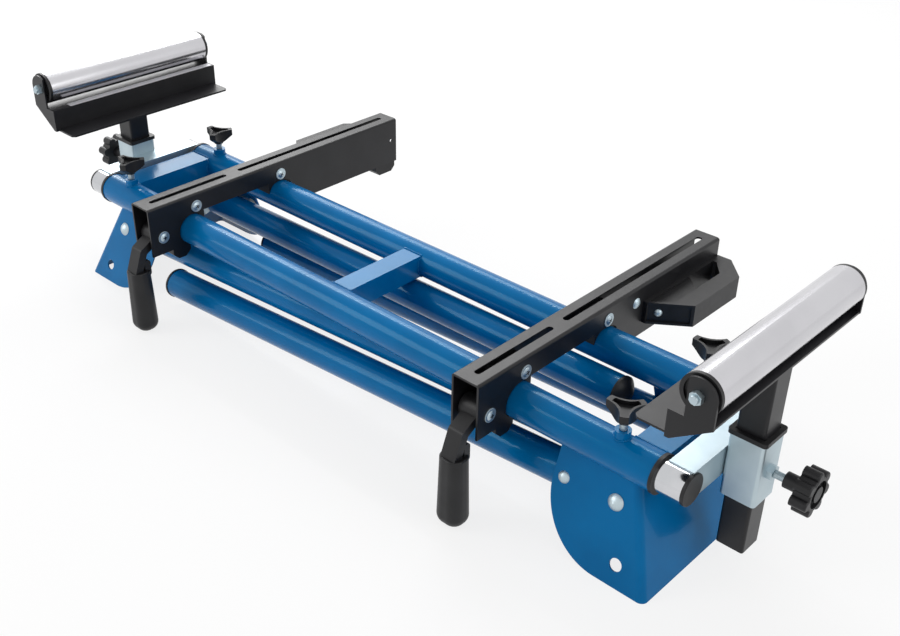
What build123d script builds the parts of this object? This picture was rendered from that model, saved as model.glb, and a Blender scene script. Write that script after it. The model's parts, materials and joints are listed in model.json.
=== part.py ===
from build123d import *
import math
import os

os.makedirs("parts", exist_ok=True)

# The stand lies with its legs folded. X is its long way, -Y its front, +Z up.
# All sizes are millimetres. Pieces are drawn about the centre of the two main
# tubes and placed on the floor, centred on the whole outline, when written.

# Frame
tubeBeyondLeg = 165
tubeRadius = 21
tubeWall = 1.5
tubeSpacing = 155
axisHeight = 130
barWall = 2
midBarWidth = 30
barHeight = 30
midBarX = -3
endBarWidth = 40

# End brackets, bent from one sheet, leaning outward at the sides and the end
plateWall = 2
plateOut = 7
plateTopDrop = 23
sideLean = 18.8
endInset = 16.3
endLean = 21.8
bendRadius = 8
bracketArc = 78
pivotInset = 35.5
pivotDrop = 27

# Legs and their pivots
legRadius = 20
legWall = 1.5
innerLegLength = 775
outerLegShorter = 18
outerLegDroop = 43.6
innerLegRise = 33.8
innerLegTuck = 14.6
outerLegGap = 0.4
innerLegGap = 3.1
legEndOver = 18
legSplay = 18
pivotBoltRadius = 5
pivotHeadRadius = 9.2
pivotHeadHeight = 4.5
pivotNutRadius = 9
pivotNutHeight = 8
footRimLip = 0.8
footRimLength = 3
footDomeHeight = 9
footPlugLength = 20
buttonRadius = 7
buttonDomeHeight = 4
buttonReach = 65
buttonTravel = 5
lockHoleRadius = 7.3

# Extensions that slide out of the main tubes
bushingWall = 1.5
bushingFlange = 4
bushingLip = 1
bushingSleeve = 30
slideWall = 1.5
slideLength = 400
slideBeyond = 38
slideTravel = 225
slideCapLength = 4
endBarGap = 4
endBarDepth = 28
endBarBottom = 15
socketSide = 39.5
socketRound = 4
socketTop = 38
socketBottom = 37
collarSide = 43
collarHeight = 5
postSide = 31.6
postRound = 3
postWall = 2
postDown = 28
postUp = 60
postFloorGap = 2

# Roller and the bent sheet that carries it
sheetWall = 2.5
webHeight = 27.5
webGap = 0.3
flangeReach = 38.5
flangeShorter = 2
flangeChamfer = 4
shelfReach = 45.5
rollerShelfGap = 4.2
cheekInside = 135
cheekRadius = 19
cheekCut = 10.5
axleHeight = 149.8
axleOffset = 2.7
axleRadius = 4
axleHeadRadius = 6.8
axleHeadHeight = 5
axleNutHeight = 5
axleTip = 3
rollerRadius = 21.1
rollerWall = 1.5
rollerEndGap = 1.5
rollerCapLength = 8
capRim = 4
capGroove = 5
capGrooveDepth = 2.5

# Star knobs on the sockets and three-cornered knobs on the main tubes
screwRadius = 4
weldNutRadius = 8.5
weldNutHeight = 6
starHubStart = 18
starHubLength = 16
starHubRadius = 8.5
starRadius = 25
starLobeRadius = 6
starThick = 18
starLobes = 7
starRecessRadius = 15
starRecessDepth = 4
wingInset = 46.5
bossRadius = 8.5
bossHeight = 8
wingHubGap = 9
wingTaper = 12
wingRim = 8
wingHubRadius = 6.5
wingArmReach = 21
wingWaist = 10
wingHollowRadius = 30
wingArms = 3
wingRecessShare = 0.72
wingRecessDepth = 5

# Rails that carry the machine
leftRailInset = 170
rightRailInset = 195.8
railWidth = 37
railWall = 2.5
railFrontOver = 68.2
railBackOver = 232.8
railRise = 29.4
railDeep = 18.6
railBend = 3.5
archGap = 2
slotWidth = 8
frontSlotInset = 15.7
frontSlotEnd = -4
backSlotStart = 17.4
backSlotInset = 15.4
saddleHalf = 20.5
saddleBottom = 4
saddleRise = 21
saddleBoltRise = 11
saddleBoltSide = 7.5
railScrewRadius = 3.9
railHeadRadius = 6.8
railHeadHeight = 3.2
railHoleRadius = 2.5
railHoleInset = 10.9
railHoleHeight = 17.4
plateBoltOver = 55.5
plateBoltHeight = 30
rearFootLength = 40
rearFootInset = 4.3
rearFootDrop = 14.4
rearFootPlug = 12
leftRailOut = 35
rightRailOut = 55
railIn = 180

# Clamp lever and jaw under the front end of each rail
leverAhead = 48.7
leverZ = 5
leverHubRadius = 13.4
leverHubGap = 2
leverNeckWidth = 20
leverNeckRadius = 5.5
neckElbowOut = 28
neckElbowDrop = 16
neckFootOut = 40
neckFootDrop = 47
prongRadius = 4.5
prongDrop = 28
gripAhead = 33.8
gripTop = 38
gripFloorGap = 1
gripTopWidth = 30
gripTopDepth = 28
gripTopRound = 12
gripWidth = 36
gripDepth = 32
gripRound = 14.5
gripEndRound = 13
leverTurn = 100
jawOver = 35
jawBackOver = 6.5
jawTop = 10
jawBottom = 36
jawChamfer = 8
jawTravel = 4

# Carry handles beside the back of each rail
handleTop = 26.9
handleBottom = 1.8
handleFrontOver = 70.5
handleCornerOver = 33
handleBackCorner = 31.3
handleReach = 50
handleBackReach = 20
handleBase = 5
handleBarInside = 28
handleWebInset = 70.3
handleWebStep = 22
handleWebDrop = 3.4
handlePocketInset = 6
handleBackInset = 40.3
handleHoleInset = 18.3
handleScrewIn = 10
handleScrewRadius = 5
handleScrewHeight = 3
pocketWall = 3
pocketDepth = 3

# Clearances
runningFit = 0.05
flatFit = 0.1
guideFit = 0.2
seatGap = 0.3
edgeRound = 1
overrun = 5

# Sizes that follow the ones above
tubeLength = innerLegLength + tubeBeyondLeg
halfTube = tubeLength / 2
tubeY = tubeSpacing / 2
plateTopY = tubeY + plateOut
endTopX = halfTube - endInset
pivotX = halfTube - pivotInset
wingX = halfTube - wingInset
sideAngle = math.radians(sideLean)
endAngle = math.radians(endLean)
outerLegLength = innerLegLength - outerLegShorter
footRimRadius = legRadius + footRimLip

slideRadius = tubeRadius - tubeWall - bushingWall
bushingFlangeRadius = tubeRadius + bushingLip
slideEndX = halfTube + slideBeyond
endBarStartX = halfTube + bushingFlange + endBarGap
endBarTop = slideRadius + barWall
socketX = endBarStartX + endBarDepth + socketSide / 2 + flatFit
axleX = socketX + axleOffset
webX = socketX - collarSide / 2 - webGap
postBottom = axisHeight - postDown - postFloorGap
postTop = axleHeight - rollerRadius - rollerShelfGap - sheetWall
flangeTop = postTop + sheetWall - webHeight
flangeHalf = cheekInside - flangeShorter

bossTop = tubeRadius + bossHeight
wingHubStart = bossTop + wingHubGap
wingHeadStart = wingHubStart + wingTaper
wingTop = wingHeadStart + wingRim

leftRailX = leftRailInset - halfTube
rightRailX = halfTube - rightRailInset
railFrontY = tubeY + railFrontOver
railBackY = tubeY + railBackOver
railTop = tubeRadius + railRise
archRadius = tubeRadius + archGap
deepEdge = tubeY + archRadius
frontSlotStart = frontSlotInset - railFrontY
backSlotEnd = railBackY - backSlotInset
saddleTop = tubeRadius + saddleRise
saddleBolt = tubeRadius + saddleBoltRise
railHoleY = railBackY - railHoleInset
plateBoltY = tubeY + plateBoltOver
rearFootEnd = railBackY - rearFootInset
rearFootStart = rearFootEnd - rearFootLength

leverY = -tubeY - leverAhead
gripY = leverY - gripAhead
gripEnd = axisHeight - gripFloorGap
leverHubWidth = railWidth - 2 * railWall - 2 * leverHubGap
jawFront = tubeY + jawOver
jawBack = tubeY + jawBackOver

handleFrontY = tubeY + handleFrontOver
handleCornerY = handleFrontY + handleCornerOver
handleBackCornerY = railBackY - handleBackCorner
handleWebY = railBackY - handleWebInset
handleBackInside = railBackY - handleBackInset
handleHoleEnd = railBackY - handleHoleInset
handleRise = (handleCornerY - handleFrontY) / (handleReach - handleBase)
handleWebTop = handleTop - handleWebDrop

leverFrontY = gripY - gripDepth / 2
midY = (railBackY + leverFrontY) / 2
rails = {"left": leftRailX, "right": rightRailX}
sides = {"left": -1, "right": 1}
depths = {"front": -1, "back": 1}


def rod(start, end, radius):
    # A round bar from one point to another.
    start, end = Vector(*start), Vector(*end)
    plane = Plane(origin=start, z_dir=(end - start).normalized())
    bottom = (Align.CENTER, Align.CENTER, Align.MIN)
    return plane * Cylinder(radius, (end - start).length, align=bottom)


def tube(start, end, radius, wall):
    return rod(start, end, radius) - rod(start, end, radius - wall)


def block(x, y, z):
    # A box between two limits on each axis, given in either order.
    size = [abs(pair[1] - pair[0]) for pair in (x, y, z)]
    middle = [(pair[1] + pair[0]) / 2 for pair in (x, y, z)]
    return Pos(*middle) * Box(*size)


def outline(points):
    return make_face(Polyline(*points, close=True))


def area(x, y):
    # A flat rectangle between two limits on each axis.
    middle = ((x[0] + x[1]) / 2, (y[0] + y[1]) / 2)
    return Pos(*middle) * Rectangle(abs(x[1] - x[0]), abs(y[1] - y[0]))


def across(sketch, low, high):
    # A YZ sketch, carried along X.
    return Plane.YZ * Pos(0, 0, low) * extrude(sketch, high - low)


def throughDepth(sketch, front, back):
    # An XZ sketch, carried along Y.
    return Plane.XZ * Pos(0, 0, -back) * extrude(sketch, back - front)


def upward(sketch, low, high):
    # An XY sketch, carried along Z.
    return Pos(0, 0, low) * extrude(sketch, high - low)


def linked(start, end, startRadius, endRadius):
    # Two circles and the straight sides between them.
    along = Vector(*end) - Vector(*start)
    square = Vector(-along.Y, along.X, 0).normalized()
    corners = [Vector(*start) + square * startRadius, Vector(*end) + square * endRadius]
    corners += [Vector(*end) - square * endRadius, Vector(*start) - square * startRadius]
    shape = outline([(corner.X, corner.Y) for corner in corners])
    return shape + Pos(*start) * Circle(startRadius) + Pos(*end) * Circle(endRadius)


def domed(centre, axis, radius, height):
    # A low dome on a flat base, rising along the axis.
    ball = (radius ** 2 + height ** 2) / (2 * height)
    half = math.asin(radius / ball) / 2
    between = (ball * math.sin(half), height - ball + ball * math.cos(half))
    curve = ThreePointArc((radius, 0), between, (0, height))
    section = make_face([Line((0, 0), (radius, 0)), curve, Line((0, height), (0, 0))])
    plane = Plane(origin=Vector(*centre), z_dir=Vector(*axis))
    return plane * revolve(Plane.XZ * section, Axis.Z)


def hexagon(start, end, radius):
    start, end = Vector(*start), Vector(*end)
    plane = Plane(origin=start, z_dir=(end - start).normalized())
    return plane * extrude(RegularPolygon(radius, 6), (end - start).length)


def plateNormal(depth):
    return Vector(0, depth * math.cos(sideAngle), math.sin(sideAngle))


def plateSlope(depth):
    # Down the leaning side plate.
    return Vector(0, depth * math.sin(sideAngle), -math.cos(sideAngle))


def platePivot(side, depth):
    # Where a leg's bolt passes the outside of the side plate.
    top = Vector(side * pivotX, depth * plateTopY, -plateTopDrop)
    return top + plateSlope(depth) * pivotDrop


def legPivot(side, depth):
    gap = outerLegGap if side > 0 else innerLegGap
    return platePivot(side, depth) - plateNormal(depth) * (plateWall + gap + legRadius)


def legWay(side, depth):
    # The folded leg's direction, from its pivot to its foot.
    if side > 0:
        droop = math.asin(outerLegDroop / outerLegLength)
        return Vector(-math.cos(droop), 0, 0) + plateSlope(depth) * math.sin(droop)
    rise = math.asin(innerLegRise / innerLegLength)
    tuck = math.asin(innerLegTuck / innerLegLength)
    flat = Vector(math.cos(rise), 0, 0) - plateSlope(depth) * math.sin(rise)
    return flat * math.cos(tuck) - plateNormal(depth) * math.sin(tuck)


def hingeAxis(side, depth):
    # The plate's normal, made square to the folded leg.
    normal = plateNormal(depth)
    way = legWay(side, depth)
    return (normal - way * normal.dot(way)).normalized()


def deployedWay(side, depth):
    # Down the plate and out toward the end, when the leg is open.
    splay = math.radians(legSplay)
    return Vector(side * math.sin(splay), 0, 0) + plateSlope(depth) * math.cos(splay)


def tubeCores(radius):
    cores = []
    for depth in depths.values():
        y = depth * tubeY
        cores.append(rod((-halfTube - overrun, y, 0), (halfTube + overrun, y, 0), radius))
    return cores


def mainTube(depth):
    y = depth * tubeY
    piece = tube((-halfTube, y, 0), (halfTube, y, 0), tubeRadius, tubeWall)
    for side in sides.values():
        x = side * wingX
        piece -= rod((x, y, 0), (x, y, tubeRadius + overrun), screwRadius + runningFit)
    return piece


def squareBar(middle, width):
    # A square tube between the main tubes, cut to their round sides.
    x = (middle - width / 2, middle + width / 2)
    y = (-tubeY, tubeY)
    z = (-barHeight / 2, barHeight / 2)
    inX = (x[0] + barWall, x[1] - barWall)
    inZ = (z[0] + barWall, z[1] - barWall)
    piece = block(x, y, z) - block(inX, y, inZ)
    for core in tubeCores(tubeRadius):
        piece -= core
    return piece


def endBarMiddle(side):
    return side * (halfTube - endBarWidth / 2)


def hopper(inset, corner):
    # The space inside both brackets' sheets: wider at the floor than above.
    faces = []
    for z in (-axisHeight, 0):
        drop = -plateTopDrop - z
        halfX = endTopX + drop * math.tan(endAngle) - inset / math.cos(endAngle)
        halfY = plateTopY + drop * math.tan(sideAngle) - inset / math.cos(sideAngle)
        faces.append(Pos(0, 0, z) * RectangleRounded(2 * halfX, 2 * halfY, corner))
    return loft(Sketch() + faces, ruled=True)


def endBracket(side):
    reach = endTopX + axisHeight
    arcZ = bracketArc - axisHeight
    whole = area((pivotX, reach), (-axisHeight, 0))
    whole += Pos(pivotX, arcZ) * Circle(bracketArc)
    whole += area((pivotX - bracketArc, pivotX), (arcZ, 0))
    whole &= area((0, reach), (-axisHeight, 0))
    keep = throughDepth(whole, -axisHeight * 2, axisHeight * 2)
    if side < 0:
        keep = mirror(keep, Plane.YZ)
    sheet = hopper(0, bendRadius) - hopper(plateWall, bendRadius - plateWall)
    sheet &= keep
    for core in tubeCores(tubeRadius):
        sheet -= core
    x = endBarMiddle(side)
    half = endBarWidth / 2
    sheet -= block((x - half, x + half), (-tubeY, tubeY), (-barHeight / 2, barHeight / 2))
    for depth in depths.values():
        normal = plateNormal(depth) * (plateWall + overrun)
        pivot = legPivot(side, depth)
        outside = pivot + hingeAxis(side, depth) * (legRadius * 2)
        sheet -= rod(pivot, outside, pivotBoltRadius + runningFit)
        folded = buttonPlace(side, depth)
        sheet -= rod(folded - normal, folded + normal, buttonRadius + runningFit)
        opened = platePivot(side, depth) + deployedWay(side, depth) * buttonReach
        sheet -= rod(opened - normal, opened + normal, lockHoleRadius)
    return sheet


def buttonPlace(side, depth):
    # On the outside of the plate, over the folded leg's own lock hole.
    way = legWay(side, depth)
    normal = plateNormal(depth)
    flat = way - normal * way.dot(normal)
    return platePivot(side, depth) + flat * buttonReach


def lockButton(side, depth):
    normal = plateNormal(depth)
    outside = buttonPlace(side, depth)
    shank = rod(outside - normal * plateWall, outside, buttonRadius)
    return shank + domed(outside, normal, buttonRadius, buttonDomeHeight)


def leg(side, depth):
    length = outerLegLength if side > 0 else innerLegLength
    pivot = legPivot(side, depth)
    way = legWay(side, depth)
    piece = tube(pivot - way * legEndOver, pivot + way * length, legRadius, legWall)
    bolt = hingeAxis(side, depth) * (legRadius + overrun)
    piece -= rod(pivot - bolt, pivot + bolt, pivotBoltRadius + runningFit)
    button = pivot + way * buttonReach
    normal = plateNormal(depth) * (legRadius + overrun)
    return piece - rod(button, button + normal, lockHoleRadius + runningFit)


def foot(side, depth):
    length = outerLegLength if side > 0 else innerLegLength
    way = legWay(side, depth)
    end = legPivot(side, depth) + way * length
    rim = end + way * footRimLength
    plug = rod(end - way * footPlugLength, end, legRadius - legWall - runningFit)
    dome = domed(rim, way, footRimRadius, footDomeHeight)
    return plug + rod(end, rim, footRimRadius) + dome


def pivotBolt(side, depth):
    # A dome-headed bolt through plate and leg, with its nut inside.
    normal = hingeAxis(side, depth)
    gap = outerLegGap if side > 0 else innerLegGap
    inner = legPivot(side, depth) - normal * (legRadius + seatGap + pivotNutHeight)
    plate = legPivot(side, depth) + normal * (legRadius + gap)
    head = plate + normal * plateWall
    bolt = rod(inner, head + normal * edgeRound / 2, pivotBoltRadius)
    bolt += domed(head + normal * edgeRound / 2, normal, pivotHeadRadius, pivotHeadHeight)
    nut = hexagon(inner, inner + normal * pivotNutHeight, pivotNutRadius)
    return bolt + nut


def bushing(side, depth):
    y = depth * tubeY
    end = side * halfTube
    sleeve = rod((end - side * bushingSleeve, y, 0), (end, y, 0), tubeRadius - tubeWall)
    lip = rod((end, y, 0), (end + side * bushingFlange, y, 0), bushingFlangeRadius)
    reach = (end - side * (bushingSleeve + overrun), y, 0)
    beyond = (end + side * (bushingFlange + overrun), y, 0)
    return sleeve + lip - rod(reach, beyond, slideRadius + runningFit)


def clampBoss(side, depth):
    # The nut welded on top of a main tube.
    x, y = side * wingX, depth * tubeY
    piece = rod((x, y, 0), (x, y, bossTop), bossRadius)
    piece -= rod((x - bossRadius - overrun, y, 0), (x + bossRadius + overrun, y, 0), tubeRadius)
    return piece - rod((x, y, 0), (x, y, bossTop + overrun), screwRadius + runningFit)


def slideTube(side, depth):
    y = depth * tubeY
    inner = slideEndX - slideLength
    outer = slideEndX - slideCapLength
    return tube((side * inner, y, 0), (side * outer, y, 0), slideRadius, slideWall)


def slideCap(side, depth):
    y = depth * tubeY
    start = side * (slideEndX - slideCapLength)
    plug = rod((start - side * bushingSleeve / 2, y, 0), (start, y, 0), slideRadius - slideWall - runningFit)
    disc = rod((start, y, 0), (side * slideEndX, y, 0), slideRadius)
    rim = disc.edges().group_by(Axis.X)[0 if side < 0 else -1]
    return plug + fillet(rim, edgeRound)


def endBar(side):
    # The plated bar that joins the two sliding tubes.
    x = (side * endBarStartX, side * (endBarStartX + endBarDepth))
    y = (-tubeY, tubeY)
    piece = block(x, y, (-endBarBottom, endBarTop))
    inX = (x[0] + side * barWall, x[1] - side * barWall)
    piece -= block(inX, y, (-endBarBottom - overrun, endBarTop - barWall))
    for depth in depths.values():
        start = (side * (endBarStartX - overrun), depth * tubeY, 0)
        end = (side * (slideEndX + overrun), depth * tubeY, 0)
        piece -= rod(start, end, slideRadius)
    return piece


def socket(side):
    x = side * socketX
    hollow = postSide + 2 * guideFit
    ring = RectangleRounded(socketSide, socketSide, socketRound)
    piece = Pos(x, 0, 0) * upward(ring, -socketBottom, socketTop)
    piece -= Pos(x, 0, 0) * upward(Rectangle(hollow, hollow), -socketBottom, socketTop)
    face = x + side * socketSide / 2
    piece += hexagon((face, 0, 0), (face + side * weldNutHeight, 0, 0), weldNutRadius)
    inside = x + side * postSide / 2
    end = face + side * (weldNutHeight + overrun)
    return piece - rod((inside, 0, 0), (end, 0, 0), screwRadius + runningFit)


def collar(side):
    hollow = postSide + 2 * guideFit
    ring = RectangleRounded(collarSide, collarSide, socketRound)
    ring -= Rectangle(hollow, hollow)
    piece = upward(ring, socketTop, socketTop + collarHeight)
    return Pos(side * socketX, 0, 0) * piece


def post(side):
    ring = RectangleRounded(postSide, postSide, postRound)
    ring -= Rectangle(postSide - 2 * postWall, postSide - 2 * postWall)
    return Pos(side * socketX, 0, 0) * upward(ring, -postBottom, postTop)


def rollerBracket(side):
    # Drawn for the right end: a flange, a web, a shelf on the post and two cheeks.
    shelf = postTop + sheetWall
    shelfEnd = webX - sheetWall + shelfReach
    flange = area((webX - flangeReach, webX), (-flangeHalf, flangeHalf))
    corners = flange.vertices().group_by(Axis.X)[0]
    piece = upward(chamfer(corners, flangeChamfer), flangeTop - sheetWall, flangeTop)
    wide = (-cheekInside - sheetWall, cheekInside + sheetWall)
    piece += block((webX - sheetWall, webX), wide, (flangeTop - sheetWall, shelf))
    piece += block((webX - sheetWall, shelfEnd), wide, (postTop, shelf))
    # A gusset under the shelf and, above it, a tab that holds the axle.
    cheek = outline([
        (webX - sheetWall, flangeTop - sheetWall),
        (webX + sheetWall, flangeTop - sheetWall),
        (shelfEnd, postTop),
        (shelfEnd, shelf),
        (webX - sheetWall, shelf),
    ])
    tab = area((axleX - cheekRadius, axleX + cheekRadius), (postTop, axleHeight))
    tab += Pos(axleX, axleHeight) * Circle(cheekRadius)
    tab -= area((axleX - 2 * cheekRadius, axleX - cheekCut), (postTop, axleHeight + 2 * cheekRadius))
    cheek += tab
    cheek -= Pos(axleX, axleHeight) * Circle(axleRadius + runningFit)
    piece += throughDepth(cheek, cheekInside, cheekInside + sheetWall)
    piece += throughDepth(cheek, -cheekInside - sheetWall, -cheekInside)
    return piece if side > 0 else mirror(piece, Plane.YZ)


def rollerAxle(side):
    x, z = side * axleX, axleHeight
    face = cheekInside + sheetWall
    front = -face - axleHeadHeight - axleTip
    piece = rod((x, front, z), (x, face + axleNutHeight + axleTip, z), axleRadius)
    piece += hexagon((x, -face - axleHeadHeight, z), (x, -face, z), axleHeadRadius)
    return piece + hexagon((x, face, z), (x, face + axleNutHeight, z), axleHeadRadius)


def rollerSleeve(side):
    x, z = side * axleX, axleHeight
    half = cheekInside - rollerEndGap - rollerCapLength / 2
    return tube((x, -half, z), (x, half, z), rollerRadius, rollerWall)


def rollerCap(side, depth):
    # A plug with a grooved rim, turning on the axle.
    x, z = side * axleX, axleHeight
    end = depth * (cheekInside - rollerEndGap)
    rim = depth * (cheekInside - rollerEndGap - rollerCapLength / 2)
    inside = depth * (cheekInside - rollerEndGap - rollerCapLength)
    piece = rod((x, inside, z), (x, rim, z), rollerRadius - rollerWall)
    piece += rod((x, rim, z), (x, end, z), rollerRadius)
    bottom = end - depth * capGrooveDepth
    groove = rod((x, bottom, z), (x, end + depth * overrun, z), rollerRadius - capRim)
    groove -= rod((x, bottom, z), (x, end + depth * overrun, z), rollerRadius - capRim - capGroove)
    piece -= groove
    return piece - rod((x, -cheekInside, z), (x, cheekInside, z), axleRadius + runningFit)


def starKnob(side):
    face = side * (socketX + socketSide / 2)
    hub = face + side * starHubStart
    head = hub + side * starHubLength
    star = Circle(starRadius - starLobeRadius)
    for lobe in PolarLocations(starRadius - starLobeRadius, starLobes):
        star += lobe * Circle(starLobeRadius)
    plane = Plane(origin=(head, 0, 0), z_dir=(side, 0, 0))
    moulding = extrude(star, starThick)
    moulding = fillet(moulding.faces().sort_by(Axis.Z)[-1].edges(), edgeRound * 2)
    recess = Circle(starRecessRadius) - Circle(starHubRadius)
    moulding -= upward(recess, starThick - starRecessDepth, starThick + overrun)
    return plane * moulding + rod((hub, 0, 0), (head, 0, 0), starHubRadius)


def starScrew(side):
    tip = side * (socketX + postSide / 2 + seatGap)
    hub = side * (socketX + socketSide / 2 + starHubStart)
    return rod((tip, 0, 0), (hub, 0, 0), screwRadius)


def wingHead(side, depth):
    # Three corners with hollow sides, tapering down to a round hub.
    head = Circle(wingArmReach)
    for hollow in PolarLocations(wingHollowRadius + wingWaist, wingArms):
        head -= hollow * Circle(wingHollowRadius)
    taper = outline([
        (0, wingHubStart),
        (wingHubRadius, wingHubStart),
        (wingHubRadius, wingHubStart + edgeRound),
        (wingArmReach, wingHeadStart),
        (wingArmReach, wingTop),
        (0, wingTop),
    ])
    moulding = upward(head, wingHubStart, wingTop) & revolve(Plane.XZ * taper, Axis.Z)
    recess = scale(head, wingRecessShare)
    moulding -= upward(recess, wingTop - wingRecessDepth, wingTop + overrun)
    return Pos(side * wingX, depth * tubeY, 0) * moulding


def wingScrew(side, depth):
    x, y = side * wingX, depth * tubeY
    return rod((x, y, slideRadius + seatGap), (x, y, wingHubStart), screwRadius)


def rail(middle):
    # A bent channel, open below, arched over both main tubes.
    half = railWidth / 2
    y = (-railFrontY, railBackY)
    body = block((-half, half), y, (-railDeep, railTop))
    long = body.edges().filter_by(Axis.Y).group_by(Axis.Z)[-1]
    body = fillet(long, railBend)
    inner = half - railWall
    hollow = block((-inner, inner), y, (-railDeep - overrun, railTop - railWall))
    long = hollow.edges().filter_by(Axis.Y).group_by(Axis.Z)[-1]
    body -= fillet(long, railBend - railWall)
    cut = area((-deepEdge, deepEdge), (-railDeep - overrun, 0))
    cut += area((-tubeY, tubeY), (0, archRadius))
    for depth in depths.values():
        cut += Pos(depth * tubeY, 0) * Circle(archRadius)
    body -= across(cut, -half - overrun, half + overrun)
    for start, end in ((frontSlotStart, frontSlotEnd), (backSlotStart, backSlotEnd)):
        slot = Rot(0, 0, 90) * SlotOverall(end - start, slotWidth)
        body -= Pos(0, (start + end) / 2, 0) * upward(slot, 0, railTop + overrun)
    holes = [(leverY, leverZ, screwRadius), (railHoleY, railHoleHeight, railHoleRadius)]
    for y in (-tubeY + saddleBoltSide, tubeY):
        holes.append((y, saddleBolt, railScrewRadius))
    for y, z, radius in holes:
        wide = half + overrun
        body -= rod((-wide, y, z), (wide, y, z), radius + runningFit)
    return Pos(middle, 0, 0) * body


def saddle(middle, depth):
    # The plastic block that rides on a main tube inside the rail.
    inner = railWidth / 2 - railWall - flatFit
    y = (depth * tubeY - saddleHalf, depth * tubeY + saddleHalf)
    piece = block((-inner, inner), y, (saddleBottom, saddleTop))
    wide = inner + overrun
    piece -= rod((-wide, depth * tubeY, 0), (wide, depth * tubeY, 0), tubeRadius + seatGap)
    boltY = saddleBoltY(depth)
    piece -= rod((-wide, boltY, saddleBolt), (wide, boltY, saddleBolt), railScrewRadius + runningFit)
    return Pos(middle, 0, 0) * piece


def saddleBoltY(depth):
    return tubeY if depth > 0 else saddleBoltSide - tubeY


def crossBolt(middle, y, z, radius):
    # A dome-headed bolt across the rail, with a nut on its far side.
    half = railWidth / 2
    bolt = rod((middle - half, y, z), (middle + half, y, z), radius)
    bolt += domed((middle + half, y, z), (1, 0, 0), railHeadRadius, railHeadHeight)
    nut = hexagon((middle - half - railHeadHeight * 2, y, z), (middle - half, y, z), railHeadRadius)
    return bolt + nut


def handleScrew(side, middle):
    # On the floor of the recess in the handle's slanting front.
    x = middle + side * (railWidth / 2 + handleBase + handleScrewIn)
    y = handleFrontY + pocketDepth + handleScrewIn * handleRise
    z = (handleTop - handleBottom) / 2
    outward = Vector(side * handleRise, -1, 0).normalized()
    return domed((x, y, z), outward, handleScrewRadius, handleScrewHeight)


def railBolts(name):
    middle = rails[name]
    pieces = [crossBolt(middle, saddleBoltY(depth), saddleBolt, railScrewRadius) for depth in depths.values()]
    pieces.append(crossBolt(middle, leverY, leverZ, screwRadius))
    pieces.append(handleScrew(sides[name], middle))
    if name == "right":
        face = middle + railWidth / 2
        pieces.append(domed((face, plateBoltY, plateBoltHeight), (1, 0, 0), railHeadRadius, railHeadHeight))
    return pieces


def rearFoot(middle):
    inner = railWidth / 2 - railWall
    y = (rearFootStart, rearFootEnd)
    sole = block((-railWidth / 2, railWidth / 2), y, (-railDeep - rearFootDrop, -railDeep))
    sole = chamfer(sole.edges().filter_by(Axis.X).group_by(Axis.Z)[0], rearFootDrop / 2)
    plug = block((-inner, inner), y, (-railDeep, rearFootPlug - railDeep))
    return Pos(middle, 0, 0) * (sole + plug)


def lever(middle):
    # The hub turns between the rail's sides; a bent neck carries the grip.
    hubWide = leverHubWidth / 2
    neckWide = leverNeckWidth / 2
    piece = rod((-hubWide, leverY, leverZ), (hubWide, leverY, leverZ), leverHubRadius)
    elbow = (leverY - neckElbowOut, leverZ - neckElbowDrop)
    foot = (leverY - neckFootOut, leverZ - neckFootDrop)
    neck = linked((leverY, leverZ), elbow, leverNeckRadius, leverNeckRadius)
    neck += linked(elbow, foot, leverNeckRadius, leverNeckRadius)
    prongY = gripY + gripTopDepth / 2 - prongRadius
    neck += linked((prongY, -prongDrop), (prongY, -gripTop - prongRadius), prongRadius, prongRadius)
    piece += across(neck, -neckWide, neckWide)
    top = Pos(0, gripY, -gripTop) * RectangleRounded(gripTopWidth, gripTopDepth, gripTopRound)
    end = Pos(0, gripY, -gripEnd) * RectangleRounded(gripWidth, gripDepth, gripRound)
    grip = loft(Sketch() + [top, end], ruled=True)
    grip = fillet(grip.faces().sort_by(Axis.Z)[0].edges(), gripEndRound)
    piece += fillet(grip.faces().sort_by(Axis.Z)[-1].edges(), edgeRound * 2)
    wide = hubWide + overrun
    piece -= rod((-wide, leverY, leverZ), (wide, leverY, leverZ), screwRadius + runningFit)
    return Pos(middle, 0, 0) * piece


def jaw(middle):
    # The hook that the lever draws up against the front tube.
    inner = railWidth / 2 - railWall - flatFit
    piece = block((-inner, inner), (-jawFront, -jawBack), (-jawBottom, jawTop))
    piece = chamfer(piece.edges().filter_by(Axis.X).group_by(Axis.Z)[0], jawChamfer)
    wide = inner + overrun
    piece -= rod((-wide, -tubeY, 0), (wide, -tubeY, 0), tubeRadius + seatGap)
    back = -tubeY - tubeRadius - seatGap
    piece -= block((-wide, wide), (back, -jawBack + overrun), (0, jawTop + overrun))
    return Pos(middle, 0, 0) * piece


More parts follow.
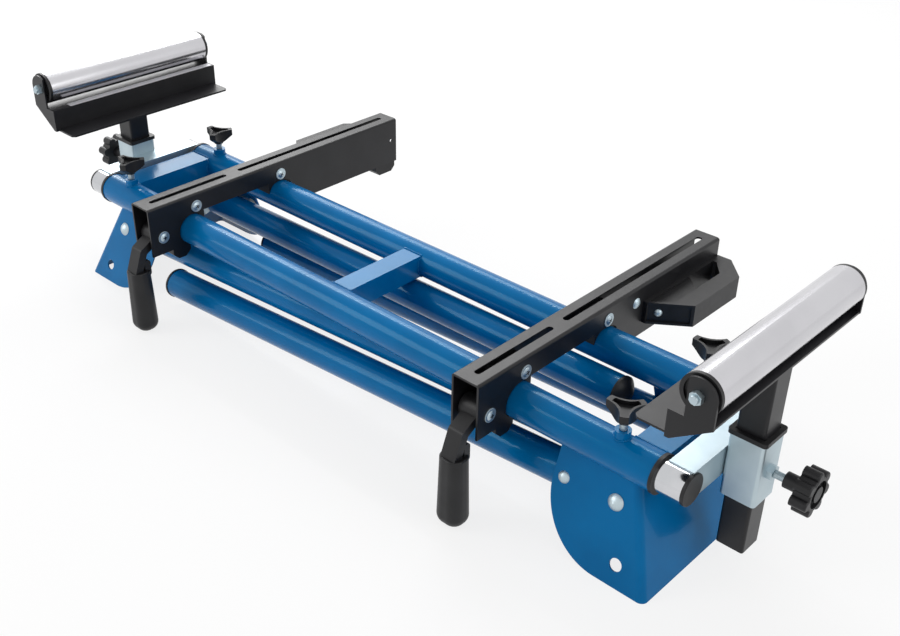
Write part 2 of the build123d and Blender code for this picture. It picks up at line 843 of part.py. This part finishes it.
def carryHandle(side, middle):
    # Plan of a D-shaped grip, measured out from the rail's side.
    plan = outline([
        (0, handleFrontY),
        (handleBase, handleFrontY),
        (handleReach, handleCornerY),
        (handleReach, handleBackCornerY),
        (handleBackReach, railBackY),
        (0, railBackY),
    ])
    body = upward(plan, -handleBottom, handleTop)
    pocketY = handleFrontY + handlePocketInset
    pocket = outline([
        (handleBase, pocketY),
        (handleBarInside, pocketY + (handleBarInside - handleBase) * handleRise),
        (handleBarInside, handleBackInside),
        (handleBackReach / 2, handleHoleEnd),
        (handleBase, handleHoleEnd),
    ])
    body -= upward(pocket, handleWebTop, handleTop + overrun)
    hole = outline([
        (handleBase, handleWebY),
        (handleBarInside, handleWebY - handleWebStep),
        (handleBarInside, handleBackInside),
        (handleBackReach / 2, handleHoleEnd),
        (handleBase, handleHoleEnd),
    ])
    body -= upward(hole, -handleBottom - overrun, handleTop)
    # A shallow framed recess in the slanting front.
    end = handleReach - pocketWall
    recess = outline([
        (handleBase, handleFrontY - overrun),
        (end, handleFrontY - overrun),
        (end, handleFrontY + (end - handleBase) * handleRise + pocketDepth),
        (handleBase, handleFrontY + pocketDepth),
    ])
    body -= upward(recess, pocketWall - handleBottom, handleTop - pocketWall)
    if side < 0:
        body = mirror(body, Plane.YZ)
    return Pos(middle + side * railWidth / 2, 0, 0) * body


def write(name, *solids):
    # Each node is stored on the floor and centred on the whole outline.
    place = Pos(0, -midY, axisHeight)
    bodies = []
    for solid in solids:
        bodies += (place * solid).solids()
    shape = bodies[0] if len(bodies) == 1 else Compound(children=bodies)
    export_step(shape, "parts/" + name + ".step")


def pairs(make):
    return [make(side, depth) for side in sides.values() for depth in depths.values()]


def writeFrame():
    for name, depth in depths.items():
        write("main_tube_" + name, mainTube(depth))
    write("mid_crossbar", squareBar(midBarX, midBarWidth))
    write("end_crossbars", *[squareBar(endBarMiddle(side), endBarWidth) for side in sides.values()])
    for name, side in sides.items():
        write(name + "_end_bracket", endBracket(side))
    write("tube_bushings", *pairs(bushing))
    write("leg_pivot_bolts", *pairs(pivotBolt))
    write("clamp_bosses", *pairs(clampBoss))
    for name, depth in depths.items():
        write("inner_" + name + "_leg", leg(-1, depth))
        write("outer_" + name + "_leg", leg(1, depth))
        write("outer_" + name + "_foot", foot(1, depth))
        for end, side in sides.items():
            write(end + "_" + name + "_lock_button", lockButton(side, depth))
            write(end + "_" + name + "_wing_knob", wingHead(side, depth), wingScrew(side, depth))
    write("inner_leg_feet", *[foot(-1, depth) for depth in depths.values()])


def writeRails():
    for name, middle in rails.items():
        side = sides[name]
        write(name + "_rail", rail(middle))
        write(name + "_rail_saddles", *[saddle(middle, depth) for depth in depths.values()])
        write(name + "_rail_bolts", *railBolts(name))
        write(name + "_carry_handle", carryHandle(side, middle))
        write(name + "_rear_foot", rearFoot(middle))
        write(name + "_clamp_lever", lever(middle))
        write(name + "_clamp_jaw", jaw(middle))


def writeExtensions():
    for name, side in sides.items():
        write(name + "_slide_tubes", *[slideTube(side, depth) for depth in depths.values()])
        write(name + "_slide_caps", *[slideCap(side, depth) for depth in depths.values()])
        write(name + "_end_bar", endBar(side))
        write(name + "_socket", socket(side))
        write(name + "_collar", collar(side))
        write(name + "_post", post(side))
        write(name + "_roller_bracket", rollerBracket(side))
        write(name + "_roller_axle", rollerAxle(side))
        write(name + "_roller_sleeve", rollerSleeve(side))
        write(name + "_roller_caps", *[rollerCap(side, depth) for depth in depths.values()])
        write(name + "_star_knob", starKnob(side), starScrew(side))


writeFrame()
writeRails()
writeExtensions()
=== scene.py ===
import bpy
import bmesh
import json
import math
from mathutils import Matrix, Vector


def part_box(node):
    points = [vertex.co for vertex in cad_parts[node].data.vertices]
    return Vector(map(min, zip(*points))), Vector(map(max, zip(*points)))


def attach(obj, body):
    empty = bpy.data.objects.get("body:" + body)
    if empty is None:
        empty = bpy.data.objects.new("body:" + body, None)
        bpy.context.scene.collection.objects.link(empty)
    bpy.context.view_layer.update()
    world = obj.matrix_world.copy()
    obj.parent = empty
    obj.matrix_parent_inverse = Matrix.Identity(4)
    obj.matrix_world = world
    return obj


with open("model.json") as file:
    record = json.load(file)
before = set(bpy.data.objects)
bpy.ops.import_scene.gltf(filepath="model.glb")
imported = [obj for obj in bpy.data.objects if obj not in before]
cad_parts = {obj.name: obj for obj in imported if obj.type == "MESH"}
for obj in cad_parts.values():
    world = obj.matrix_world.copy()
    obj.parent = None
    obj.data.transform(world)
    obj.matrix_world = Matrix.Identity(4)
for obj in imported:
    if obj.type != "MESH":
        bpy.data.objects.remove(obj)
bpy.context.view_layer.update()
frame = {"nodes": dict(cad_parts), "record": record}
nodes = frame["nodes"]
print("frame loaded:", len(nodes), "nodes")

mm = 0.001
mergeGap = 0.000002
ends = {"left": -1, "right": 1}
depths = {"front": -1, "back": 1}


# Finishes. Each noise is given as its scale and detail, and where it is drawn out, its stretch.

toneSpread = (0.35, 0.65)


def startMaterial(name):
    material = bpy.data.materials.new(name)
    material.use_nodes = True
    tree = material.node_tree
    shader = tree.nodes["Principled BSDF"]
    coords = tree.nodes.new("ShaderNodeTexCoord")
    return material, tree, shader, coords


def addNoise(tree, coords, scale, detail, stretch=(1, 1, 1)):
    mapping = tree.nodes.new("ShaderNodeMapping")
    mapping.inputs["Scale"].default_value = stretch
    noise = tree.nodes.new("ShaderNodeTexNoise")
    noise.inputs["Scale"].default_value = scale
    noise.inputs["Detail"].default_value = detail
    tree.links.new(coords.outputs["Object"], mapping.inputs["Vector"])
    tree.links.new(mapping.outputs["Vector"], noise.inputs["Vector"])
    return noise.outputs["Fac"]


def addTone(tree, coords, shader, look):
    # Clouds of two tones.
    ramp = tree.nodes.new("ShaderNodeValToRGB")
    for element, position, tone in zip(ramp.color_ramp.elements, toneSpread, (look["deep"], look["light"])):
        element.position = position
        element.color = (*tone, 1)
    tree.links.new(addNoise(tree, coords, *look["cloud"]), ramp.inputs["Fac"])
    tree.links.new(ramp.outputs["Color"], shader.inputs["Base Color"])


def addRub(tree, shader, factor, look):
    # Patches that are more or less matt.
    patches = tree.nodes.new("ShaderNodeMapRange")
    patches.inputs["To Min"].default_value, patches.inputs["To Max"].default_value = look["rough"]
    tree.links.new(factor, patches.inputs["Value"])
    tree.links.new(patches.outputs["Result"], shader.inputs["Roughness"])


def addBump(tree, shader, height, strength, distance):
    bump = tree.nodes.new("ShaderNodeBump")
    bump.inputs["Strength"].default_value = strength
    bump.inputs["Distance"].default_value = distance
    tree.links.new(height, bump.inputs["Height"])
    tree.links.new(bump.outputs["Normal"], shader.inputs["Normal"])


bluePaint = {
    "deep": (0.0, 0.128, 0.35),
    "light": (0.0, 0.15, 0.4),
    "cloud": (14, 3),
    "rub": (90, 6),
    "rough": (0.22, 0.25),
    "specular": 0.18,
    "tint": (0.05, 0.75, 1, 1),
    "coat": 0.15,
    "coatRough": 0.04,
    "peel": (420, 2),
    "peelStrength": 0.08,
    "peelDepth": 0.00001,
}


def makeBluePaint():
    material, tree, shader, coords = startMaterial("bluePaint")
    addTone(tree, coords, shader, bluePaint)
    addRub(tree, shader, addNoise(tree, coords, *bluePaint["rub"]), bluePaint)
    shader.inputs["Specular IOR Level"].default_value = bluePaint["specular"]
    shader.inputs["Specular Tint"].default_value = bluePaint["tint"]
    shader.inputs["Coat Weight"].default_value = bluePaint["coat"]
    shader.inputs["Coat Roughness"].default_value = bluePaint["coatRough"]
    peel = addNoise(tree, coords, *bluePaint["peel"])
    addBump(tree, shader, peel, bluePaint["peelStrength"], bluePaint["peelDepth"])
    return material


blacks = {
    "blackCoat": {
        "deep": (0.0055, 0.0055, 0.007),
        "light": (0.01, 0.01, 0.012),
        "cloud": (22, 4),
        "rub": (60, 6),
        "rough": (0.32, 0.42),
        "specular": 0.36,
        "grain": (1500, 2),
        "grainStrength": 0.35,
        "grainDepth": 0.00006,
    },
    "blackMoulding": {
        "deep": (0.006, 0.006, 0.007),
        "light": (0.011, 0.011, 0.0125),
        "cloud": (35, 4),
        "rub": (120, 5),
        "rough": (0.38, 0.5),
        "specular": 0.36,
        "grain": (900, 3),
        "grainStrength": 0.4,
        "grainDepth": 0.00005,
    },
}


def makeBlack(name):
    # Powder coat or moulded plastic, with a fine grain.
    look = blacks[name]
    material, tree, shader, coords = startMaterial(name)
    addTone(tree, coords, shader, look)
    addRub(tree, shader, addNoise(tree, coords, *look["rub"]), look)
    shader.inputs["Specular IOR Level"].default_value = look["specular"]
    grain = addNoise(tree, coords, *look["grain"])
    addBump(tree, shader, grain, look["grainStrength"], look["grainDepth"])
    return material


metals = {
    "chrome": {
        "deep": (0.55, 0.56, 0.58),
        "light": (0.66, 0.66, 0.68),
        "cloud": (18, 5),
        "lines": (300, 3, (0.1, 1, 1)),
        "rough": (0.05, 0.1),
        "metal": 1,
    },
    "zinc_plate": {
        "deep": (0.42, 0.51, 0.56),
        "light": (0.51, 0.6, 0.64),
        "cloud": (18, 5),
        "lines": (60, 3),
        "rough": (0.4, 0.48),
        "metal": 1,
    },
    "roller_steel": {
        "deep": (0.565, 0.56, 0.585),
        "light": (0.6, 0.595, 0.62),
        "cloud": (18, 5),
        "lines": (220, 3, (1, 0.1, 1)),
        "rough": (0.18, 0.24),
        "metal": 1,
    },
    # Pale finish that paints the roller's reflection on the shelves
    "paintedReflectionSteel": {
        "deep": (0.76, 0.75, 0.79),
        "light": (0.84, 0.83, 0.87),
        "cloud": (30, 4),
        "lines": (200, 3, (1, 0.1, 1)),
        "rough": (0.4, 0.5),
        "metal": 0.1,
    },
}
lineStrength = 0.08
lineDepth = 0.00002


def makeMetal(name):
    # Plated or drawn metal with faint lines along the piece.
    look = metals[name]
    material, tree, shader, coords = startMaterial(name)
    shader.inputs["Metallic"].default_value = look["metal"]
    addTone(tree, coords, shader, look)
    lines = addNoise(tree, coords, *look["lines"])
    addRub(tree, shader, lines, look)
    addBump(tree, shader, lines, lineStrength, lineDepth)
    return material


finishes = {
    "blue_paint": makeBluePaint(),
    "black_paint": makeBlack("blackCoat"),
    "black_plastic": makeBlack("blackMoulding"),
    "chrome": makeMetal("chrome"),
    "zinc_plate": makeMetal("zinc_plate"),
    "roller_steel": makeMetal("roller_steel"),
}
# Pale finish for the painted reflection of the roller in the glossy black shelves
paintedReflectionFinish = makeMetal("paintedReflectionSteel")


def dressNode(name, slot):
    materials = nodes[name].data.materials
    if not len(materials):
        materials.append(finishes[slot])
    for index in range(len(materials)):
        materials[index] = finishes[slot]


for part in frame["record"]["subparts"]:
    dressNode(part["node"], part["material_slot"])
print("nodes dressed")


# Places, measured from the middle of the two main tubes in millimetres

frontLow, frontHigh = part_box("main_tube_front")
backLow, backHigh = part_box("main_tube_back")
tubeRadius = (frontHigh[2] - frontLow[2]) / 2 / mm
tubeY = (backHigh[1] - frontHigh[1]) / 2 / mm
halfTube = (frontHigh[0] - frontLow[0]) / 2 / mm
axisPlace = Vector((0, (frontLow[1] + backHigh[1]) / 2, (frontLow[2] + frontHigh[2]) / 2))


def place(x, y, z):
    return axisPlace + Vector((x, y, z)) * mm


def nodeMiddle(name):
    low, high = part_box(name)
    return (Vector(low) + Vector(high)) / 2


def finishPiece(name, bm, body, slot, smooth=True, finish=None):
    mesh = bpy.data.meshes.new(name)
    bm.to_mesh(mesh)
    bm.free()
    for face in mesh.polygons:
        face.use_smooth = smooth
    mesh.materials.append(finish or finishes[slot])
    piece = bpy.data.objects.new(name, mesh)
    bpy.context.scene.collection.objects.link(piece)
    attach(piece, body)


def standAlong(origin, axis):
    # Turns +Z to the axis and moves there.
    turn = Vector(axis).to_track_quat("Z", "Y").to_matrix().to_4x4()
    return Matrix.Translation(origin) @ turn


def addTurned(bm, profile, origin, axis, steps):
    # Spins radius and height pairs, in millimetres, into a closed ring or sleeve.
    verts = [bm.verts.new((radius * mm, 0, height * mm)) for radius, height in profile]
    edges = [bm.edges.new((verts[i], verts[(i + 1) % len(verts)])) for i in range(len(verts))]
    bmesh.ops.spin(bm, geom=verts + edges, cent=(0, 0, 0), axis=(0, 0, 1), angle=math.tau,
                   steps=steps, use_merge=True, use_duplicate=False)
    fresh = [vert for vert in bm.verts if not vert.tag]
    bmesh.ops.transform(bm, matrix=standAlong(origin, axis), verts=fresh)
    for vert in fresh:
        vert.tag = True


def closeShape(bm):
    bmesh.ops.remove_doubles(bm, verts=bm.verts, dist=mergeGap)
    bmesh.ops.recalc_face_normals(bm, faces=bm.faces)


# Weld beads. A wobble is the share that the beads' size varies by, and its pace from bead to bead.

weld = {
    "ripple": 1.7,
    "radius": 1.5,
    "around": 8,
    "rings": 5,
    "barHigh": 30,
    "midWidth": 30,
    "endWidth": 40,
    "barWobble": (0.12, 2.3),
    "bossRadius": 8.5,
    "bossWobble": (0.1, 1.9),
    "wingInset": 46.5,
}


def addRipple(bm, spot, index, wobble):
    share, pace = wobble
    size = weld["radius"] * (1 + share * math.sin(index * pace))
    ball = bmesh.ops.create_uvsphere(bm, u_segments=weld["around"], v_segments=weld["rings"],
                                     radius=size * mm)
    bmesh.ops.translate(bm, vec=spot, verts=ball["verts"])


def seamSpots(middle, width, depth):
    # Round a square bar's end, on the side of the tube that it meets.
    spots = []
    high = weld["barHigh"] / 2
    corners = [(-width / 2, -high), (width / 2, -high), (width / 2, high), (-width / 2, high)]
    for index, (x, z) in enumerate(corners):
        nextX, nextZ = corners[(index + 1) % len(corners)]
        count = round(math.dist((x, z), (nextX, nextZ)) / weld["ripple"])
        for step in range(count):
            share = step / count
            height = z + (nextZ - z) * share
            inward = math.sqrt(tubeRadius ** 2 - height ** 2)
            spots.append(place(middle + x + (nextX - x) * share, depth * (tubeY - inward), height))
    return spots


def makeBarWelds():
    middleOfBar = (nodeMiddle("mid_crossbar") - axisPlace).x / mm
    endMiddle = halfTube - weld["endWidth"] / 2
    bars = {"mid": (middleOfBar, weld["midWidth"]), "left": (-endMiddle, weld["endWidth"]),
            "right": (endMiddle, weld["endWidth"])}
    for name, (middle, width) in bars.items():
        bm = bmesh.new()
        for depth in depths.values():
            for index, spot in enumerate(seamSpots(middle, width, depth)):
                addRipple(bm, spot, index, weld["barWobble"])
        finishPiece(name + "_crossbar_welds", bm, "frame", "blue_paint")


def makeBossWelds():
    bm = bmesh.new()
    count = round(math.tau * weld["bossRadius"] / weld["ripple"])
    for side in ends.values():
        for depth in depths.values():
            for step in range(count):
                turn = math.tau * step / count
                across = weld["bossRadius"] * math.sin(turn)
                x = side * (halfTube - weld["wingInset"]) + weld["bossRadius"] * math.cos(turn)
                height = math.sqrt(tubeRadius ** 2 - across ** 2)
                addRipple(bm, place(x, depth * tubeY + across, height), step, weld["bossWobble"])
    finishPiece("clamp_boss_welds", bm, "frame", "blue_paint")


makeBarWelds()
makeBossWelds()
print("weld beads laid")


# Screw threads that show beside the knobs and on the roller axles

thread = {
    "pitch": 1.25,
    "core": 3.95,
    "crest": 4.4,
    "wall": 0.4,
    "steps": 20,
    "fewestTurns": 2,
    "wingStart": 29.4,
    "wingEnd": 38.1,
    "starLength": 12.1,
    "tipLength": 2.9,
    "tipOverlap": 0.1,
}


def threadProfile(length):
    core, inside = thread["core"], thread["core"] - thread["wall"]
    turns = max(thread["fewestTurns"], round(length / thread["pitch"]))
    step = length / turns
    profile = [(inside, 0)]
    for turn in range(turns):
        profile.append((core, turn * step))
        profile.append((thread["crest"], (turn + 0.5) * step))
    profile += [(core, length), (inside, length)]
    return profile


def makeThread(name, rows, body):
    # Each row is where a thread starts, its way and its length.
    bm = bmesh.new()
    for start, way, length in rows:
        addTurned(bm, threadProfile(length), start, way, thread["steps"])
    closeShape(bm)
    finishPiece(name, bm, body, "zinc_plate")


def wingThreads(end, side):
    length = thread["wingEnd"] - thread["wingStart"]
    for name, depth in depths.items():
        start = place(side * (halfTube - weld["wingInset"]), depth * tubeY, thread["wingStart"])
        makeThread(end + "_" + name + "_wing_thread", [(start, (0, 0, 1), length)],
                   end + "_" + name + "_wing_knob")


def starThread(end, side):
    low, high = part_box(end + "_socket")
    face = high[0] if side > 0 else low[0]
    start = Vector((face, axisPlace.y, axisPlace.z))
    makeThread(end + "_star_thread", [(start, (side, 0, 0), thread["starLength"])], end + "_star_knob")


def axleThreads(end):
    low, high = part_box(end + "_roller_axle")
    middle = nodeMiddle(end + "_roller_axle")
    back = (thread["tipLength"] + thread["tipOverlap"]) * mm
    rows = [(Vector((middle.x, y - way * back, middle.z)), (0, way, 0), thread["tipLength"])
            for way, y in ((-1, low[1]), (1, high[1]))]
    makeThread(end + "_axle_threads", rows, end + "_post")


for end, side in ends.items():
    wingThreads(end, side)
    starThread(end, side)
    axleThreads(end)
print("threads cut")


# Washers, and painted shade for the cross recesses on the dome-headed bolts

boltDress = {
    "washerInner": 5.6,
    "washerOuter": 8.4,
    "washerThick": 1.1,
    "washerSteps": 36,
    "edge": 0.25,
    "railHeight": 3.2,
    "railSaddle": 32,
    "saddleSide": 7.5,
    "leverAhead": 48.7,
    "leverZ": 5,
    "crossLong": 5.2,
    "crossWide": 1.1,
    "crossHigh": 1.5,
    "crossProud": 0.12,
    "firstTurn": 20,
    "turnStep": 35,
}


def addWasher(bm, origin, axis):
    inner, outer = boltDress["washerInner"], boltDress["washerOuter"]
    thick, edge = boltDress["washerThick"], boltDress["edge"]
    profile = [(inner, 0), (outer, 0), (outer, thick - edge), (outer - edge, thick), (inner, thick)]
    addTurned(bm, profile, origin, axis, boltDress["washerSteps"])


def addPaintedRecessShade(bm, origin, axis, turn):
    # Painted shade: the shaded cross recess in the top of a dome, drawn as a black star that stands a hair
    # proud.
    for quarter in (0, 90):
        made = bmesh.ops.create_cube(bm, size=mm)
        size = (boltDress["crossLong"], boltDress["crossWide"], boltDress["crossHigh"])
        bmesh.ops.scale(bm, vec=size, verts=made["verts"])
        spin = Matrix.Rotation(math.radians(turn + quarter), 4, "Z")
        drop = Matrix.Translation((0, 0, (boltDress["crossProud"] - boltDress["crossHigh"] / 2) * mm))
        bmesh.ops.transform(bm, matrix=standAlong(origin, axis) @ drop @ spin, verts=made["verts"])


def railBoltSpots():
    # Depth and height of each bolt head on a rail's right side.
    near = -tubeY + boltDress["saddleSide"]
    return [(near, boltDress["railSaddle"]), (tubeY, boltDress["railSaddle"]),
            (-tubeY - boltDress["leverAhead"], boltDress["leverZ"])]


def makeBoltDress():
    outwards = (1, 0, 0)
    for end in ends:
        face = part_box(end + "_rail")[1][0]
        washers, recessShades = bmesh.new(), bmesh.new()
        for index, (y, z) in enumerate(railBoltSpots()):
            spot = place(0, y, z)
            spot.x = face
            addWasher(washers, spot, outwards)
            top = spot + Vector((boltDress["railHeight"] * mm, 0, 0))
            addPaintedRecessShade(recessShades, top, outwards, boltDress["firstTurn"] + boltDress["turnStep"] * index)
        closeShape(washers)
        finishPiece(end + "_rail_washers", washers, end + "_rail", "zinc_plate", False)
        # The black crosses paint the shade inside the cross recesses
        finishPiece(end + "_rail_bolt_recess_shade", recessShades, end + "_rail", "black_paint", False)


makeBoltDress()
print("washers and crosses set")


# Plastic plugs under the square posts

postPlug = {
    "inside": 27.4,
    "flange": 31.2,
    "thick": 1.6,
    "depth": 14,
    "corner": 2.5,
    "insideCorner": 1.25,
    "cornerSteps": 4,
}


def addSquare(bm, middle, wide, low, high, corner):
    made = bmesh.ops.create_cube(bm, size=1)
    bmesh.ops.scale(bm, vec=(wide * mm, wide * mm, high - low), verts=made["verts"])
    bmesh.ops.translate(bm, vec=(middle.x, middle.y, (low + high) / 2), verts=made["verts"])
    upright = [edge for edge in {edge for vert in made["verts"] for edge in vert.link_edges}
               if abs(edge.verts[0].co.z - edge.verts[1].co.z) > (high - low) / 2]
    bmesh.ops.bevel(bm, geom=upright, offset=corner * mm, affect="EDGES", segments=postPlug["cornerSteps"],
                    profile=0.5, material=-1)


def makePostPlugs():
    for end in ends:
        middle = nodeMiddle(end + "_post")
        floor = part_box(end + "_post")[0][2]
        bm = bmesh.new()
        addSquare(bm, middle, postPlug["flange"], floor - postPlug["thick"] * mm, floor, postPlug["corner"])
        addSquare(bm, middle, postPlug["inside"], floor, floor + postPlug["depth"] * mm,
                  postPlug["insideCorner"])
        finishPiece(end + "_post_plug", bm, end + "_post", "black_plastic", False)


makePostPlugs()
print("post plugs fitted")


# Painted reflection: bright strips laid on the shelves under the rollers stand in for the roller's
# reflection in the glossy black shelf

paintedShelfReflection = {
    "fromWeb": 1.2,
    "wide": 11,
    "thick": 0.6,
    "frontGap": 28,
    "backGap": 3.2,
    "shelfBelowRoller": 4.2,
    "webFromPost": 24.3,
    "round": 0.25,
    "roundSteps": 2,
}


def makePaintedShelfReflections():
    for end, side in ends.items():
        low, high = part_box(end + "_roller_bracket")
        web = nodeMiddle(end + "_post").x - side * paintedShelfReflection["webFromPost"] * mm
        near = web + side * paintedShelfReflection["fromWeb"] * mm
        far = near + side * paintedShelfReflection["wide"] * mm
        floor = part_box(end + "_roller_sleeve")[0][2] - paintedShelfReflection["shelfBelowRoller"] * mm
        front = low[1] + paintedShelfReflection["frontGap"] * mm
        back = high[1] - paintedShelfReflection["backGap"] * mm
        bm = bmesh.new()
        made = bmesh.ops.create_cube(bm, size=1)
        size = (abs(far - near), back - front, paintedShelfReflection["thick"] * mm)
        bmesh.ops.scale(bm, vec=size, verts=made["verts"])
        middle = ((near + far) / 2, (front + back) / 2, floor + paintedShelfReflection["thick"] * mm / 2)
        bmesh.ops.translate(bm, vec=middle, verts=made["verts"])
        bmesh.ops.bevel(bm, geom=bm.edges[:], offset=paintedShelfReflection["round"] * mm, affect="EDGES",
                        segments=paintedShelfReflection["roundSteps"], profile=0.5, material=-1)
        # The pale strip paints the bright reflection in the shelf; it is not a real plated part
        finishPiece(end + "_painted_shelf_reflection", bm, end + "_post", "roller_steel", False, paintedReflectionFinish)


makePaintedShelfReflections()
print("shelf strips laid")


# Camera, floor and light

photoCamera = {
    "place": (0.90698, -0.93738, 0.83655),
    "look": (-0.58273, 0.62039, -0.52492),
    "roll": 0.556,
    "focal": 1145.04,
    "middle": (431.43, 326.21),
    "picture": (900, 636),
    "sensor": 36,
    "nearest": 0.01,
    "farthest": 50,
}


def makeCamera():
    data = bpy.data.cameras.new("photoCamera")
    camera = bpy.data.objects.new("photoCamera", data)
    bpy.context.scene.collection.objects.link(camera)
    wide, high = photoCamera["picture"]
    data.sensor_width = photoCamera["sensor"]
    data.lens = photoCamera["focal"] / wide * data.sensor_width
    data.shift_x = (wide / 2 - photoCamera["middle"][0]) / wide
    data.shift_y = (photoCamera["middle"][1] - high / 2) / wide
    data.clip_start = photoCamera["nearest"]
    data.clip_end = photoCamera["farthest"]
    turn = Vector(photoCamera["look"]).to_track_quat("-Z", "Y").to_matrix().to_4x4()
    roll = Matrix.Rotation(math.radians(photoCamera["roll"]), 4, "Z")
    camera.matrix_world = Matrix.Translation(photoCamera["place"]) @ turn @ roll
    bpy.context.scene.camera = camera


studio = {
    "floorSize": 30,
    "floorTone": 0.9,
    "floorRough": 0.9,
    "floorGlow": 0.8,
    "world": 0.5,
    "white": 1,
}


def addSeen(tree):
    # One where the camera sees the surface, directly, in gloss or through glass.
    path = tree.nodes.new("ShaderNodeLightPath")
    gloss = tree.nodes.new("ShaderNodeMath")
    gloss.operation = "MAXIMUM"
    seen = tree.nodes.new("ShaderNodeMath")
    seen.operation = "MAXIMUM"
    tree.links.new(path.outputs["Is Glossy Ray"], gloss.inputs[0])
    tree.links.new(path.outputs["Is Transmission Ray"], gloss.inputs[1])
    tree.links.new(path.outputs["Is Camera Ray"], seen.inputs[0])
    tree.links.new(gloss.outputs["Value"], seen.inputs[1])
    return seen.outputs["Value"]


def makeFloorFinish():
    # Plain pale floor that glows a little where it is seen, and keeps the shadow.
    material = bpy.data.materials.new("studioFloor")
    material.use_nodes = True
    tree = material.node_tree
    shader = tree.nodes["Principled BSDF"]
    tone = studio["floorTone"]
    shader.inputs["Base Color"].default_value = (tone, tone, tone, 1)
    shader.inputs["Roughness"].default_value = studio["floorRough"]
    glow = tree.nodes.new("ShaderNodeEmission")
    blend = tree.nodes.new("ShaderNodeMixShader")
    amount = tree.nodes.new("ShaderNodeMath")
    amount.operation = "MULTIPLY"
    amount.inputs[1].default_value = studio["floorGlow"]
    tree.links.new(addSeen(tree), amount.inputs[0])
    tree.links.new(amount.outputs["Value"], blend.inputs["Fac"])
    tree.links.new(shader.outputs["BSDF"], blend.inputs[1])
    tree.links.new(glow.outputs["Emission"], blend.inputs[2])
    tree.links.new(blend.outputs["Shader"], tree.nodes["Material Output"].inputs["Surface"])
    return material


def makeFloor():
    mesh = bpy.data.meshes.new("studioFloor")
    bm = bmesh.new()
    bmesh.ops.create_grid(bm, x_segments=1, y_segments=1, size=studio["floorSize"] / 2)
    bm.to_mesh(mesh)
    bm.free()
    floor = bpy.data.objects.new("studioFloor", mesh)
    bpy.context.scene.collection.objects.link(floor)
    mesh.materials.append(makeFloorFinish())


def makeWorld():
    # White where it is seen, and dimmer as a light.
    world = bpy.data.worlds.new("studioWorld")
    world.use_nodes = True
    tree = world.node_tree
    back = tree.nodes["Background"]
    strength = tree.nodes.new("ShaderNodeMapRange")
    strength.inputs["To Min"].default_value = studio["world"]
    strength.inputs["To Max"].default_value = studio["white"]
    tree.links.new(addSeen(tree), strength.inputs["Value"])
    tree.links.new(strength.outputs["Result"], back.inputs["Strength"])
    back.inputs["Color"].default_value = (1, 1, 1, 1)
    bpy.context.scene.world = world


lampAim = (0, 0, 0.1)
lamps = [
    {"name": "longSoftbox", "place": (-1.76, 1.31, 1.71), "along": (0.92, 0.28, 0.29),
     "size": (3.0, 1.2), "power": 48},
    {"name": "thinStrip", "place": (-1.6, 0.95, 1.72), "along": (0.92, 0.25, 0.3),
     "size": (2.8, 0.06), "power": 12},
    {"name": "leftFront", "place": (-1.8, -2.2, 1.6), "along": (1, -0.8, 0),
     "size": (1.4, 1.4), "power": 26},
    {"name": "rightSide", "place": (2.6, 0.4, 1.4), "along": (0, 1, 0),
     "size": (1.6, 1.2), "power": 16},
]


def makeLamps():
    for lamp in lamps:
        data = bpy.data.lights.new(lamp["name"], "AREA")
        data.shape = "RECTANGLE"
        data.size, data.size_y = lamp["size"]
        data.energy = lamp["power"]
        light = bpy.data.objects.new(lamp["name"], data)
        bpy.context.scene.collection.objects.link(light)
        back = (Vector(lamp["place"]) - Vector(lampAim)).normalized()
        side = Vector(lamp["along"])
        side = (side - back * side.dot(back)).normalized()
        turn = Matrix((side, back.cross(side), back)).transposed().to_4x4()
        light.matrix_world = Matrix.Translation(lamp["place"]) @ turn


makeCamera()
makeFloor()
makeWorld()
makeLamps()
bpy.context.scene.view_settings.view_transform = "Standard"
print("camera, floor and lamps placed")
